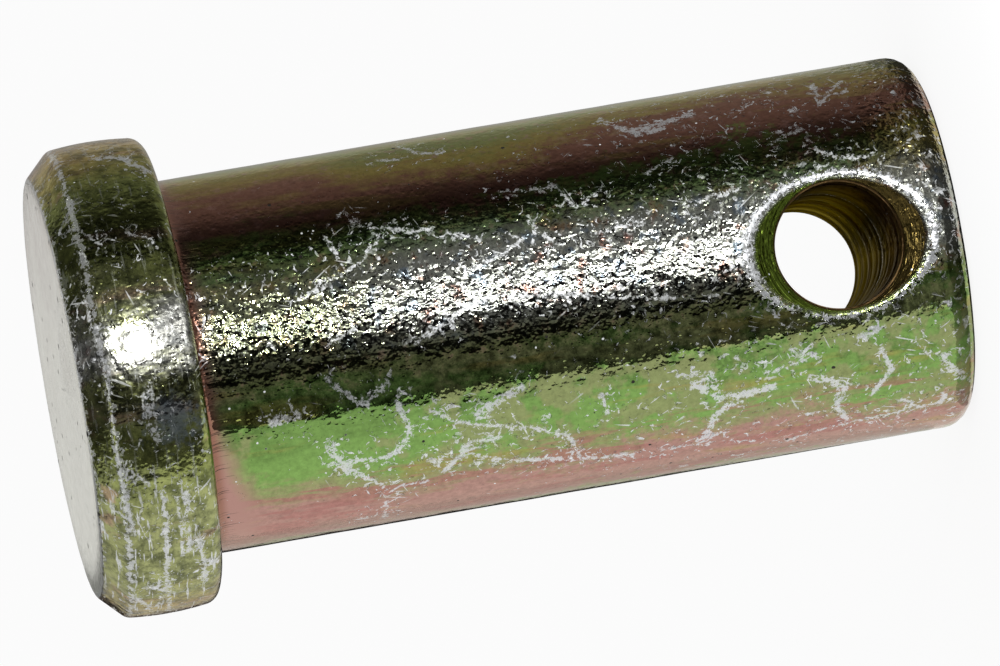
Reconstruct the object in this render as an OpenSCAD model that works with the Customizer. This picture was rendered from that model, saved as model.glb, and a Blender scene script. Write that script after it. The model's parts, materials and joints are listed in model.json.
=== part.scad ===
// Clevis pin: a headed round pin with a countersunk cross hole near its free end, made in one piece.
// It stands on its free end. The origin is the centre of the end face, +Z runs up the shank to the head,
// and the cross hole runs along Y. Lengths are in millimetres.

/* [Shank] */
// Diameter of the shank
shank_d = 12; // [8:0.5:20]
// Length of the shank, from the free end to the underside of the head
shank_l = 24.75; // [18:0.25:80]
// Radius that rounds the edge of the free end
end_round = 0.85; // [0.2:0.05:1.6]
// Radius of the fillet in the corner under the head
neck_fillet = 0.35; // [0.1:0.05:0.5]

/* [Head] */
// How far the head stands out past the shank, on each side
shoulder_w = 1.6; // [1.4:0.1:5]
// Thickness of the head
head_h = 3.8; // [2.2:0.1:8]
// Width of the bevel round the outer face, across and along the pin alike
head_bevel = 0.8; // [0.2:0.1:1.2]
// Radius that rounds the rim on the shank's side
rim_round = 0.5; // [0.2:0.05:0.8]
// How far the rim bulges between its rounded edge and its bevel
rim_crown = 0.08; // [0.02:0.01:0.15]

/* [Cross hole] */
// Diameter of the hole that takes the split pin or clip
hole_d = 4; // [2:0.1:5]
// Metal left between the hole and the free end
end_land = 2; // [1.5:0.1:8]
// How far the countersink widens the hole's mouth, on each side along the shank
csk_w = 0.95; // [0.2:0.05:1.4]
// Angle of the countersink, as a drill point leaves it
csk_angle = 118; // [82:1:130]

/* [Hidden] */

$fn = 96;
// How far a cut runs past the surface that it opens
overrun = 1;
// Zinc plating with a yellow chromate film
plating = [0.62, 0.58, 0.34];

shank_r = shank_d / 2;
head_r = shank_r + shoulder_w;
total_l = shank_l + head_h;
// The rim's two edges, the radius that they share, and the arc that bulges between them
rim_low_z = shank_l + rim_round;
rim_high_z = total_l - head_bevel;
rim_r = head_r - rim_crown;
rim_chord = rim_high_z - rim_low_z;
crown_r = rim_chord * rim_chord / (8 * rim_crown) + rim_crown / 2;
hole_r = hole_d / 2;
hole_z = end_land + hole_r;
// Widening of the countersink for each unit of its depth
csk_slope = tan(csk_angle / 2);
csk_depth = csk_w / csk_slope;

// A quarter of a disc, in the corner right of and above the origin
module quarter_disc(r) {
    intersection() {
        circle(r);
        square(r + overrun);
    }
}

// Half section of the shank: a bar with the edge of its free end rounded
module shank_section() {
    corner_r = shank_r - end_round;
    polygon([
        [0, 0],
        [corner_r, 0],
        [corner_r, end_round],
        [shank_r, end_round],
        [shank_r, shank_l],
        [0, shank_l]
    ]);
    translate([corner_r, end_round])
        mirror([0, 1])
            quarter_disc(end_round);
}

// Half section of the head: bevelled round its outer face, rounded on the shank's side, crowned between
module head_section() {
    corner_r = rim_r - rim_round;
    polygon([
        [0, shank_l],
        [corner_r, shank_l],
        [corner_r, rim_low_z],
        [rim_r, rim_low_z],
        [rim_r, rim_high_z],
        [rim_r - head_bevel, total_l],
        [0, total_l]
    ]);
    translate([corner_r, rim_low_z])
        mirror([0, 1])
            quarter_disc(rim_round);
    crown_section();
}

// Half section of the rim's slight bulge
module crown_section() {
    intersection() {
        translate([head_r - crown_r, rim_low_z + rim_chord / 2])
            circle(crown_r);
        translate([rim_r, shank_l])
            square([rim_crown + overrun, head_h]);
    }
}

// Half section of the fillet that joins the shank to the underside of the head
module neck_section() {
    translate([shank_r, shank_l - neck_fillet])
        difference() {
            square(neck_fillet);
            translate([neck_fillet, 0])
                circle(neck_fillet);
        }
}

// The pin before drilling
module pin_blank() {
    rotate_extrude() {
        shank_section();
        head_section();
        neck_section();
    }
}

// One countersink, widening along +Z from the depth where it meets the hole out past the shank's crest
module countersink() {
    translate([0, 0, shank_r - csk_depth])
        cylinder(
            h = csk_depth + overrun,
            r1 = hole_r,
            r2 = hole_r + (csk_depth + overrun) * csk_slope
        );
}

// The hole with a countersink at each mouth, about the Z axis through the origin
module cross_hole() {
    cylinder(h = shank_d + 2 * overrun, r = hole_r, center = true);
    for (mouth = [0, 1])
        mirror([0, 0, mouth])
            countersink();
}

module clevis_pin() {
    color(plating)
        difference() {
            pin_blank();
            translate([0, 0, hole_z])
                rotate([90, 0, 0])
                    cross_hole();
        }
}

clevis_pin();
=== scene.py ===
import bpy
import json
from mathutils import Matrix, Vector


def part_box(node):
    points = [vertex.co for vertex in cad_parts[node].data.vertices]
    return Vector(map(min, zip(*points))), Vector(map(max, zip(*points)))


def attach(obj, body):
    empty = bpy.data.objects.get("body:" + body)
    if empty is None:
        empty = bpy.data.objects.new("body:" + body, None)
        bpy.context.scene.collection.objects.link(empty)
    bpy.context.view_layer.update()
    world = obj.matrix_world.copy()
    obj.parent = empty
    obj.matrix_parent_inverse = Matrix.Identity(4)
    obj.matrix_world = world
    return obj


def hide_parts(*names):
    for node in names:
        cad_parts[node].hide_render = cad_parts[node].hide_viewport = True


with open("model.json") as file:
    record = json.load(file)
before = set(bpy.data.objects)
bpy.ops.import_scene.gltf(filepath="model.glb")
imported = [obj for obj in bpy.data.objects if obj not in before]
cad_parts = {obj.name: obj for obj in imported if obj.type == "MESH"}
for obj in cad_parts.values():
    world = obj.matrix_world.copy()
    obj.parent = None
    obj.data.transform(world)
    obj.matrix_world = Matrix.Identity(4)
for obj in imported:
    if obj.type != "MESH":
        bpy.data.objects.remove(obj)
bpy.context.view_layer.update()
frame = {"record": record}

import json
import math

import bmesh
import bpy
import numpy as np
from bpy.props import FloatProperty, FloatVectorProperty, PointerProperty
from mathutils import Matrix, Vector

bl_info = {
    "name": "Plated clevis pin",
    "version": (1, 0, 0),
    "blender": (4, 5, 0),
    "location": "View3D > Sidebar > Clevis pin",
    "description": "Builds a yellow zinc plated clevis pin and its studio",
    "category": "Object",
}

NODE = "clevis_pin"
MM = 0.001
MOUNTS = {mount["name"]: mount for mount in frame["record"]["mounts"]}
NODE_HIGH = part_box(NODE)[1]

# The camera's place and the way it looks, in millimetres and degrees, as in the photograph
CAMERA_PLACE = (-22.81, -370.24, 58.93)
CAMERA_AIM = (-0.60, 0.10, 14.42)
CAMERA_ROLL = -99.75
CAMERA_LENS = 421.6
SENSOR_WIDTH = 36.0
# Nearest and farthest that the camera sees, in metres
CAMERA_CLIP = (0.01, 20.0)
# Turn from -Y to the camera's side, in degrees
CAMERA_TURN = 3.43

# The floor's size in metres, and how much of what the camera and the metal see of it is its own glow
FLOOR_SIZE = 6.0
FLOOR_GLOW = 0.88
# The screens stand round a point of the shank's front and the mats lie round the pin's foot, in millimetres
SCREEN_CENTRE = (0.0, -4.0, 0.0)
FOOT_CENTRE = (0.0, 0.0, 0.0)
# Sections of the boards: pairs of distance from their centre and height, in millimetres
FOOT_MAT_SECTION = ((4.6, 0.04), (5.53, 0.04))
DARK_MAT_SECTION = ((5.72, 0.04), (7.6, 0.04))
GREY_MAT_SECTION = ((7.6, 0.04), (12.5, 0.04))
PALE_MAT_SECTION = ((12.5, 0.04), (18.0, 0.04))
CARD_SECTION = ((15.0, 0.08), (30.0, 0.08))
SCREEN_SECTION = ((14.0, 0.05), (48.0, 0.05), (96.0, 0.05), (144.0, 0.05), (155.0, 0.05),
                  (160.0, 8.0), (160.0, 50.0), (160.0, 100.0), (160.0, 170.0))
# Where the plain boards begin and end, and greys of the others, by turn in degrees from the camera's side
GREY_TURNS, PALE_TURNS, CARD_TURNS = (-31, 176), (-35.5, 176), (2, 36)
ROOM_GREYS = (
    (-48.5, 0.008), (-46.5, 0.017), (-44.5, 0.13), (-38, 0.13), (-32, 0.17), (-26, 0.20), (-20, 0.28),
    (-18.5, 0.24), (-16, 0.03), (-13.5, 0.006), (29, 0.012), (34, 0.20), (40, 0.27), (46, 0.20), (52, 0.25),
    (57, 0.22), (61, 0.18), (65, 0.09), (69, 0.035), (73, 0.012), (77, 0.02), (81, 0.05), (87, 0.07),
    (93, 0.13), (99, 0.24), (105, 0.29), (117, 0.35), (130, 0.39), (141, 0.42), (147, 0.60), (154, 0.68),
    (176, 0.44),
)
EDGE_GREYS = ((-180, 0.02), (-163, 0.02), (-160, 0.90), (-136, 1.0))
FOOT_GREYS = ((-75, 0.85), (-45, 0.75), (-30, 0.48), (-18, 0.16), (-6, 0.085), (176, 0.085))
# The pale mat's brightness beside the grey one's
PALE_MAT_SHARE = 0.8
BOARD_STEPS = 72
# The round ceiling board, in millimetres
CEILING_RADIUS = 130
CEILING_PLACE = (70, 0, 170)
CEILING_CORNERS = 48
# Lamps: turn from the camera's side, distance and height; width and height; share of the key light's power
LAMPS = (
    ("shank_key", (15, 30, 9.2), (2.2, 17.5), 0.68),
    ("low_key", (13, 30, 3.6), (4.6, 6.4), 0.55),
    ("rim_key", (15, 60, 22.7), (3.6, 3.6), 5.2),
)

# How finely the pin is meshed: steps round it, and of the windows in the shank's wall for the hole's mouths
TURN_STEPS = 200
WINDOW_COLUMNS = 40
WINDOW_ROWS = 40
WINDOW_LOW = 0.5
WINDOW_HIGH = 8.0
WALL_ROWS = 86
END_STEPS, NECK_STEPS, RIM_STEPS, CROWN_STEPS = 4, 6, 8, 10
SHOULDER_RINGS, LIP_RINGS, BORE_RINGS = 10, 6, 92
# Rings on the free end, on the head's face and down the countersink, as shares of the way out
END_SHARE = 0.4
FACE_SHARES = (0.8, 0.6, 0.4, 0.2, 0.0)
CONE_SHARES = (0.75, 0.5, 0.25, 0.04)
# Points closer than the first are merged; those of an edge lie within the second of it; in millimetres
MERGE_GAP = 0.002
EDGE_GAP = 0.01
SMOOTH_DEGREES = 35
# Rounds in which the radius of the hole's mouth settles
MOUTH_ROUNDS = 40
# Size of the dents of the tumbled surface, in millimetres
DENT_SIZE = 1.6

# Turns where zones of the surface have their middle, in radians from the side that the hole opens to
ROSE_TURN = -1.15
GREEN_TURN = -0.61
OLIVE_TURN = -0.28
RUBBED_TURN = 0.20
TIP_TURN = 0.42
# Spots on the rim: turn in radians, and height above the head's underside in millimetres
STEEL_PATCH = (-0.26, 1.15)
RIM_HIGHLIGHT = (0.084, 2.0)
# Where the shank's gold band comes lower, and the drill's ring with painted glints (pale spots), in
# millimetres
GOLD_HEIGHT = 15.5
PAINTED_GLINT_RING = -1.0
# How much the film's tone varies: from grain to grain, in blotches and on the head
GRAIN_TONES = ((0.30, (0.78, 0.78, 0.78)), (0.70, (1.14, 1.14, 1.14)))
BLOTCH_TONES = ((0.38, (0.34, 0.34, 0.32)), (0.60, (1.36, 1.40, 1.36)))
HEAD_TONES = ((0.38, (0.42, 0.42, 0.44)), (0.61, (1.32, 1.28, 1.28)))
# How much paler the zinc is in places, and across the rubbed side as a painted highlight
PALER_ZINC = 1.38
# Hairline scratches: slant from the pin's length in radians, and a shift that sets each layer apart
HAIRLINES = ((0.35, 3.0), (-0.60, 31.0), (1.20, 67.0))
# Grains of the relief: scale, detail and depth in millimetres
RELIEF_GRAINS = ((1.5, 1.0, 0.058), (3.9, 1.5, 0.056), (6.8, 1.5, 0.018))
# Cells in a millimetre: those with the specks, and the pits of the relief
SPECK_SCALE = 1.6
PIT_SCALE = 4.0

# Stands for no scuff near, in millimetres
FAR = 9.0
# How deep below the rim and the shank scuffs still show, in millimetres
RIM_DEPTH, SHANK_DEPTH = 1.2, 0.6
# Scuffs on the shank and rim: half width; then turns in degrees from the hole's side and heights along each
SCUFFS = (
    (0.08, ((-14.8, 20.71), (-21.9, 20.01), (-24.0, 19.72))),
    (0.10, ((-18.9, 19.01), (-23.2, 19.65))),
    (0.20, ((-24.1, 22.47), (-23.8, 22.05))),
    (0.10, ((-25.9, 18.66), (-35.6, 18.34), (-40.6, 18.61), (-43.6, 19.21), (-43.0, 20.23), (-42.5, 20.87))),
    (0.18, ((-36.8, 20.92), (-42.0, 20.74), (-46.9, 20.32))),
    (0.08, ((-48.2, 20.10), (-53.1, 19.57))),
    (0.10, ((-56.1, 19.32), (-59.5, 19.23))),
    (0.08, ((-66.0, 19.26), (-76.2, 19.29))),
    (0.07, ((-30.2, 17.55), (-34.9, 16.89), (-39.7, 15.32), (-43.3, 14.16))),
    (0.16, ((-32.9, 16.07), (-30.0, 15.43), (-27.6, 14.89))),
    (0.11, ((-44.1, 16.58), (-43.1, 16.12), (-42.8, 15.70))),
    (0.10, ((-48.4, 16.89), (-52.7, 17.32))),
    (0.10, ((-47.8, 16.59), (-53.8, 15.39), (-56.1, 14.13), (-59.6, 12.68), (-61.6, 11.44))),
    (0.07, ((-41.4, 14.53), (-45.9, 13.69))),
    (0.05, ((-57.1, 18.04), (-57.0, 18.62))),
    (0.05, ((-73.2, 20.08), (-73.8, 19.75))),
    (0.07, ((-47.7, 17.75), (-47.4, 17.30))),
    (0.16, ((-37.6, 9.12), (-41.0, 8.56), (-43.3, 8.02), (-42.2, 6.85))),
    (0.13, ((-45.6, 8.03), (-49.0, 8.59), (-59.5, 8.98))),
    (0.11, ((-34.2, 8.64), (-42.6, 8.50))),
    (0.15, ((-41.5, 5.33), (-44.1, 4.82), (-47.2, 4.50))),
    (0.13, ((-47.2, 4.50), (-54.8, 4.70), (-61.4, 4.40))),
    (0.10, ((-36.5, 3.13), (-43.4, 2.87), (-50.9, 3.47))),
    (0.08, ((-29.5, 3.72), (-28.2, 3.16))),
    (0.10, ((-58.3, 2.45), (-63.2, 1.95), (-62.8, 1.30), (-59.2, 1.21))),
    (0.15, ((-42.7, 1.15), (-47.7, 0.93), (-51.0, 0.61))),
    (0.05, ((-34.4, 1.98), (-38.9, 1.75))),
    (0.05, ((-70.5, 6.27), (-66.2, 5.16), (-63.6, 2.56))),
    (0.05, ((-63.6, 8.19), (-66.1, 7.43))),
    (0.11, ((-48.5, 13.31), (-55.0, 13.06))),
    (0.07, ((-35.3, 12.20), (-39.9, 12.10))),
    (0.05, ((-32.4, 9.63), (-33.4, 9.09))),
    (0.05, ((-62.5, 10.21), (-62.3, 9.17), (-57.9, 8.40))),
    (0.07, ((-30.3, 5.93), (-33.5, 5.28))),
    (0.07, ((-36.3, 6.79), (-34.7, 5.80))),
    (0.15, ((61.5, 10.32), (53.2, 9.71), (53.5, 8.83), (56.1, 7.73))),
    (0.10, ((50.5, 9.38), (51.7, 8.64))),
    (0.10, ((61.9, 3.51), (50.3, 3.57))),
    (0.07, ((50.3, 3.57), (60.8, 2.68))),
    (0.08, ((30.6, 4.04), (26.9, 3.51), (25.8, 2.73))),
    (0.07, ((36.8, 5.32), (39.9, 4.44))),
    (0.10, ((34.4, 12.58), (30.9, 12.34), (27.9, 12.18))),
    (0.07, ((33.9, 9.49), (36.8, 8.75))),
    (0.08, ((69.8, 16.75), (61.2, 16.35), (59.7, 15.79))),
    (0.07, ((61.4, 17.54), (59.8, 17.15))),
    (0.05, ((33.6, 18.96), (30.4, 18.52), (29.3, 17.97))),
    (0.08, ((28.2, 17.80), (26.8, 17.25), (26.9, 16.70))),
    (0.05, ((29.1, 19.93), (21.6, 19.70))),
    (0.07, ((22.9, 18.74), (27.7, 18.06))),
    (0.07, ((23.6, 16.07), (20.5, 15.33))),
    (0.05, ((35.3, 14.14), (34.0, 12.56))),
    (0.07, ((22.3, 13.52), (16.6, 13.10))),
    (0.08, ((-7.5, 17.71), (-3.2, 16.80), (0.3, 15.97), (1.8, 15.17), (-0.7, 13.07))),
    (0.06, ((-0.7, 13.07), (-4.4, 11.40), (-7.6, 9.60))),
    (0.05, ((-3.3, 20.45), (-0.8, 19.73))),
    (0.05, ((10.8, 21.17), (19.5, 19.07))),
    (0.05, ((11.1, 15.72), (17.1, 13.99))),
    (0.07, ((16.0, 11.44), (17.0, 10.13))),
    (0.05, ((25.9, 11.87), (30.0, 11.13))),
    (0.07, ((19.7, 8.46), (22.1, 6.96))),
    (0.16, ((62.9, 26.44), (61.9, 25.75), (54.7, 25.17))),
    (0.08, ((-33.7, 26.52), (-41.0, 26.51))),
    (0.10, ((-43.3, 26.57), (-54.3, 26.55))),
    (0.07, ((-57.3, 26.63), (-82.2, 26.52))),
    (0.13, ((-33.4, 25.78), (-39.1, 25.82))),
    (0.10, ((-43.2, 25.90), (-51.2, 25.90))),
    (0.08, ((-20.6, 27.80), (-30.6, 27.71), (-42.6, 27.58))),
    (0.07, ((39.6, 28.17), (35.4, 27.63), (30.1, 27.00))),
    (0.07, ((39.6, 28.17), (44.3, 27.67))),
    (0.08, ((-25.7, 27.44), (-29.5, 27.00))),
    (0.07, ((-49.2, 25.50), (-66.0, 25.36))),
    (0.08, ((-63.6, 27.16), (-67.6, 26.68))),
    (0.10, ((-70.8, 27.54), (-76.7, 27.13))),
    (0.05, ((27.0, 28.00), (16.7, 27.91), (9.1, 27.91))),
    (0.07, ((32.0, 26.12), (29.6, 25.55))),
    (0.05, ((-6.1, 26.43), (-19.4, 26.48))),
    (0.04, ((-9.3, 26.75), (-17.1, 26.72))),
)


def size_property(name, description, default):
    """A length in millimetres that the user can set."""
    return FloatProperty(name=name, description=description, default=default)


class PinSizes(bpy.types.PropertyGroup):
    """Sizes of the pin, in millimetres; those that fit other parts come from the frame."""

    shank_radius: size_property(
        "Shank radius", "Radius of the straight shank", MOUNTS["shank"]["dims"]["r_mm"])
    head_radius: size_property("Head radius", "Largest radius of the head's rim", NODE_HIGH[0] / MM)
    total_length: size_property("Length", "From the free end to the head's outer face", NODE_HIGH[2] / MM)
    shank_length: size_property(
        "Shank length", "From the free end to the head's underside", MOUNTS["head_seat"]["pos_m"][2] / MM)
    end_round: size_property("End rounding", "Radius that rounds the edge of the free end", 0.85)
    neck_fillet: size_property("Neck fillet", "Radius of the fillet under the head", 0.35)
    rim_round: size_property("Rim rounding", "Radius that rounds the rim on the shank's side", 0.5)
    rim_crown: size_property("Rim crown", "How far the rim bulges", 0.08)
    head_bevel: size_property("Head bevel", "Width of the bevel round the outer face", 0.8)
    edge_break: size_property("Edge break", "Width of the worn edges of the head's bevel", 0.12)
    hole_radius: size_property(
        "Hole radius", "Radius of the cross hole", MOUNTS["cross_hole"]["dims"]["r_mm"])
    hole_height: size_property(
        "Hole height", "Height of the cross hole above the free end", MOUNTS["cross_hole"]["pos_m"][2] / MM)
    bore_half: size_property(
        "Bore half length", "From the pin's axis to where the countersink starts",
        MOUNTS["cross_hole"]["dims"]["length_mm"] / 2)
    csk_angle: FloatProperty(
        name="Countersink angle", description="Full angle of the countersink",
        subtype="ANGLE", default=math.radians(118))
    lip_inside: size_property("Lip inside", "How far the worn lip reaches down the countersink", 0.17)
    lip_outside: size_property("Lip outside", "How far the worn lip reaches over the shank", 0.2)
    groove_depth: size_property("Drill grooves", "Depth of the grooves that the drill left in the hole", 0.08)
    waviness: size_property("Waviness", "Depth of the shallow unevenness of the tumbled surface", 0.02)


def colour_property(name, description, default):
    """A colour that the user can set."""
    return FloatVectorProperty(name=name, description=description, subtype="COLOR", size=3, default=default)


class PlatingLook(bpy.types.PropertyGroup):
    """Colours of the yellow chromate film and of the zinc where it is scuffed."""

    film_green: colour_property("Film green", "Green band of the film", (0.222, 0.385, 0.102))
    film_lime: colour_property("Film lime", "Yellow-green patches of the film", (0.295, 0.322, 0.140))
    film_rose: colour_property("Film rose", "Rose band of the film", (0.445, 0.250, 0.212))
    film_red: colour_property("Film red", "Redder patches in the rose band", (0.420, 0.185, 0.165))
    film_russet: colour_property("Film russet", "Red-brown band of the film", (0.310, 0.150, 0.105))
    film_olive: colour_property("Film olive", "Olive ground of the film", (0.268, 0.312, 0.096))
    film_gold: colour_property("Film gold", "Yellow-brown patches of the film", (0.400, 0.310, 0.090))
    # On the rubbed side, the pale film and the steel's blue-grey glints lie where the lamps' highlight falls:
    # partly film colour, partly a painted highlight
    film_pale: colour_property("Film pale", "Thin film where the pin was rubbed most", (0.540, 0.555, 0.505))
    film_steel: colour_property("Film steel", "Blue-grey glints where it was rubbed", (0.400, 0.480, 0.560))
    face_film: colour_property("Face film", "Thin film on the flat of the head", (0.610, 0.612, 0.565))
    face_rose: colour_property("Face rose", "Thicker, rosy film at one side of it", (0.450, 0.415, 0.390))
    face_bare: colour_property("Face bare", "Thinnest film at the other side of it", (0.750, 0.760, 0.695))
    cone_green: colour_property(
        "Countersink green", "Film in the countersink on the head's side", (0.200, 0.285, 0.040))
    cone_brown: colour_property(
        "Countersink brown", "Film in the countersink on the free end's side", (0.108, 0.078, 0.024))
    hole_brown: colour_property("Hole brown", "Thick brown film in the drilled hole", (0.200, 0.163, 0.058))
    hole_red: colour_property("Hole red", "Film in the hole's front part", (0.170, 0.085, 0.040))
    # The hole's dark rings are partly dirt in the drill's grooves and partly painted shade inside the hole
    hole_dark: colour_property("Hole dark", "Dirt in the drill's grooves", (0.013, 0.010, 0.003))
    hole_edge: colour_property("Hole edge", "Its film's tint at a glancing angle", (0.500, 0.430, 0.260))
    # A paler tone of the bare zinc also makes the painted glints and the painted highlight on the rubbed side
    bare_zinc: colour_property("Bare zinc", "Grey zinc where the film is scuffed off", (0.660, 0.675, 0.690))
    # The dirt's colour also makes the painted shadow beside the flecks
    dirt: colour_property("Dirt", "Dark specks and the dirt in the turning marks", (0.020, 0.018, 0.014))
    edge_tint: colour_property("Edge tint", "Tint of the film at a glancing angle", (0.90, 0.88, 0.80))


def grey_property(name, description, default):
    """A brightness from 0 to 1 that the user can set."""
    return FloatProperty(name=name, description=description, subtype="FACTOR", default=default)


class StudioSettings(bpy.types.PropertyGroup):
    """Light and floor of the plain studio."""

    floor_grey: grey_property("Floor", "Brightness of the floor", 0.9)
    ceiling_grey: grey_property("Ceiling", "Brightness of the dim ceiling", 0.10)
    mat_grey: grey_property("Mat", "Brightness of the grey mat round the pin's foot", 0.28)
    card_grey: grey_property("Card", "Brightness of the white card on the floor in front of the pin", 0.9)
    key_power: FloatProperty(
        name="Key light", description="Power of the lamps in front of the pin, before each one's share",
        unit="POWER", default=0.0012)
    sky_strength: FloatProperty(
        name="Room light", description="Strength of the even light of the room", default=0.8)


def deselect_all():
    """Leaves nothing selected and no object in edit mode."""
    if bpy.context.object and bpy.context.object.mode != "OBJECT":
        bpy.ops.object.mode_set(mode="OBJECT")
    bpy.ops.object.select_all(action="DESELECT")


def make_active(obj):
    """Selects one object alone and makes it the active one."""
    deselect_all()
    obj.select_set(True)
    bpy.context.view_layer.objects.active = obj


def drawn_line(points):
    """A new object, left in edit mode, with a line through the points, all of it selected."""
    deselect_all()
    bpy.ops.mesh.primitive_plane_add(size=1.0)
    line = bpy.context.active_object
    bpy.ops.object.mode_set(mode="EDIT")
    bpy.ops.mesh.delete(type="VERT")
    mesh = bmesh.from_edit_mesh(line.data)
    verts = [mesh.verts.new(point) for point in points]
    for one, two in zip(verts, verts[1:]):
        mesh.edges.new((one, two))
    bmesh.update_edit_mesh(line.data)
    bpy.ops.mesh.select_all(action="SELECT")
    return line


def steps(start, stop, count):
    """Evenly spaced values from start to stop, both included."""
    return [start + (stop - start) * i / count for i in range(count + 1)]


def surface_radius(sizes, height):
    """Radius of the shank at a height: straight, and rounded at the free end."""
    if height >= sizes.end_round:
        return sizes.shank_radius
    drop = sizes.end_round - height
    return sizes.shank_radius - sizes.end_round + math.sqrt(sizes.end_round ** 2 - drop ** 2)


def bevel_edges(sizes):
    """Radius and height of the lower and the upper edge of the head's bevel."""
    rim_r = sizes.head_radius - sizes.rim_crown
    return (rim_r, sizes.total_length - sizes.head_bevel), (rim_r - sizes.head_bevel, sizes.total_length)


def pin_profile(sizes):
    """Half section of the pin from the middle of the free end to the middle of the head's face."""
    shank_r, end_r = sizes.shank_radius, sizes.end_round
    neck, rim_r = sizes.neck_fillet, sizes.head_radius - sizes.rim_crown
    under, top = sizes.shank_length, sizes.total_length
    profile = [(0.0, 0.0), (shank_r * END_SHARE, 0.0)]
    for turn in steps(0.0, math.acos(1 - WINDOW_LOW / end_r), END_STEPS):
        profile.append((shank_r - end_r + end_r * math.sin(turn), end_r - end_r * math.cos(turn)))
    for height in steps(WINDOW_LOW, WINDOW_HIGH, WINDOW_ROWS)[1:]:
        profile.append((surface_radius(sizes, height), height))
    for height in steps(WINDOW_HIGH, under - neck, WALL_ROWS)[1:]:
        profile.append((shank_r, height))
    for turn in steps(0.0, math.pi / 2, NECK_STEPS)[1:]:
        profile.append((shank_r + neck - neck * math.cos(turn), under - neck + neck * math.sin(turn)))
    for turn in steps(0.0, math.pi / 2, RIM_STEPS):
        profile.append((rim_r - sizes.rim_round + sizes.rim_round * math.sin(turn),
                        under + sizes.rim_round - sizes.rim_round * math.cos(turn)))
    low, high = under + sizes.rim_round, top - sizes.head_bevel
    half = (high - low) / 2
    crown_r = half ** 2 / (2 * sizes.rim_crown) + sizes.rim_crown / 2
    for height in steps(low, high, CROWN_STEPS)[1:]:
        off = height - low - half
        profile.append((sizes.head_radius - crown_r + math.sqrt(crown_r ** 2 - off ** 2), height))
    face_r = rim_r - sizes.head_bevel
    return profile + [(face_r * share, top) for share in (1.0, *FACE_SHARES)]


def in_window(sizes, face):
    """True for a face of the shank's wall that the mouth of the hole takes the place of."""
    centre = face.calc_center_median()
    side = abs(math.atan2(centre.x, abs(centre.y)))
    half = math.pi * WINDOW_COLUMNS / TURN_STEPS
    return (WINDOW_LOW < centre.z < WINDOW_HIGH and side < half
            and math.hypot(centre.x, centre.y) > sizes.shank_radius - sizes.end_round)


def turned_blank(sizes):
    """Draws the half section, spins it into the pin and opens a window for each mouth of the hole."""
    blank = drawn_line([(radius, 0.0, height) for radius, height in pin_profile(sizes)])
    bpy.ops.mesh.spin(steps=TURN_STEPS, angle=2 * math.pi, center=(0, 0, 0), axis=(0, 0, 1))
    bpy.ops.mesh.select_all(action="SELECT")
    bpy.ops.mesh.remove_doubles(threshold=MERGE_GAP)
    bpy.ops.mesh.select_mode(type="FACE")
    bpy.ops.mesh.select_all(action="DESELECT")
    mesh = bmesh.from_edit_mesh(blank.data)
    for face in mesh.faces:
        face.select = in_window(sizes, face)
    bmesh.update_edit_mesh(blank.data)
    bpy.ops.mesh.delete(type="FACE")
    break_bevel_edges(sizes, blank)
    bpy.ops.object.mode_set(mode="OBJECT")
    return blank


def break_bevel_edges(sizes, blank):
    """Rounds the two edges of the head's bevel a little, as handling has."""
    bpy.ops.mesh.select_mode(type="EDGE")
    bpy.ops.mesh.select_all(action="DESELECT")
    mesh = bmesh.from_edit_mesh(blank.data)
    for edge in mesh.edges:
        edge.select = any(
            all(abs(math.hypot(v.co.x, v.co.y) - radius) < EDGE_GAP and abs(v.co.z - height) < EDGE_GAP
                for v in edge.verts)
            for radius, height in bevel_edges(sizes))
    bmesh.update_edit_mesh(blank.data)
    bpy.ops.mesh.bevel(offset=sizes.edge_break, segments=3, affect="EDGES")


def window_loop():
    """The window's outline as pairs of angle from the hole's side and height, once round."""
    half = math.pi * WINDOW_COLUMNS / TURN_STEPS
    across = steps(-half, half, WINDOW_COLUMNS)
    up = steps(WINDOW_LOW, WINDOW_HIGH, WINDOW_ROWS)
    loop = [(angle, WINDOW_LOW) for angle in across[:-1]]
    loop += [(half, height) for height in up[:-1]]
    loop += [(angle, WINDOW_HIGH) for angle in reversed(across[1:])]
    loop += [(-half, height) for height in reversed(up[1:])]
    return loop


def mouth_radius(sizes, turn):
    """Distance from the hole's axis to the edge between countersink and shank, at a turn round the hole."""
    slope = math.tan(sizes.csk_angle / 2)
    radius = sizes.hole_radius
    for _ in range(MOUTH_ROUNDS):
        crest = math.sqrt(sizes.shank_radius ** 2 - (radius * math.cos(turn)) ** 2)
        radius = 0.5 * radius + 0.5 * (sizes.hole_radius + (crest - sizes.bore_half) * slope)
    return radius


def on_shank(sizes, turn, radius):
    """Point of the shank's surface in front of the hole: across, depth from the pin's axis, height."""
    across, height = radius * math.cos(turn), sizes.hole_height + radius * math.sin(turn)
    return Vector((across, math.sqrt(surface_radius(sizes, height) ** 2 - across ** 2), height))


def on_cone(sizes, turn, radius):
    """Point of the countersink: across, depth from the pin's axis, height."""
    depth = sizes.bore_half + (radius - sizes.hole_radius) / math.tan(sizes.csk_angle / 2)
    return Vector((radius * math.cos(turn), depth, sizes.hole_height + radius * math.sin(turn)))


def groove(sizes, depth):
    """How much wider the drill left the hole at a depth: coarse rings and fine ones, unevenly spaced."""
    wander = 0.9 * math.sin(depth * 1.3) + 0.6 * math.sin(depth * 2.9 + 1.0)
    coarse = 0.5 + 0.5 * math.sin(depth * 5.2 + wander)
    fine = 0.5 + 0.5 * math.sin(depth * 14.0 + 2.0 * wander)
    return sizes.groove_depth * (0.75 * coarse ** 3 + 0.25 * fine ** 2)


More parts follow.
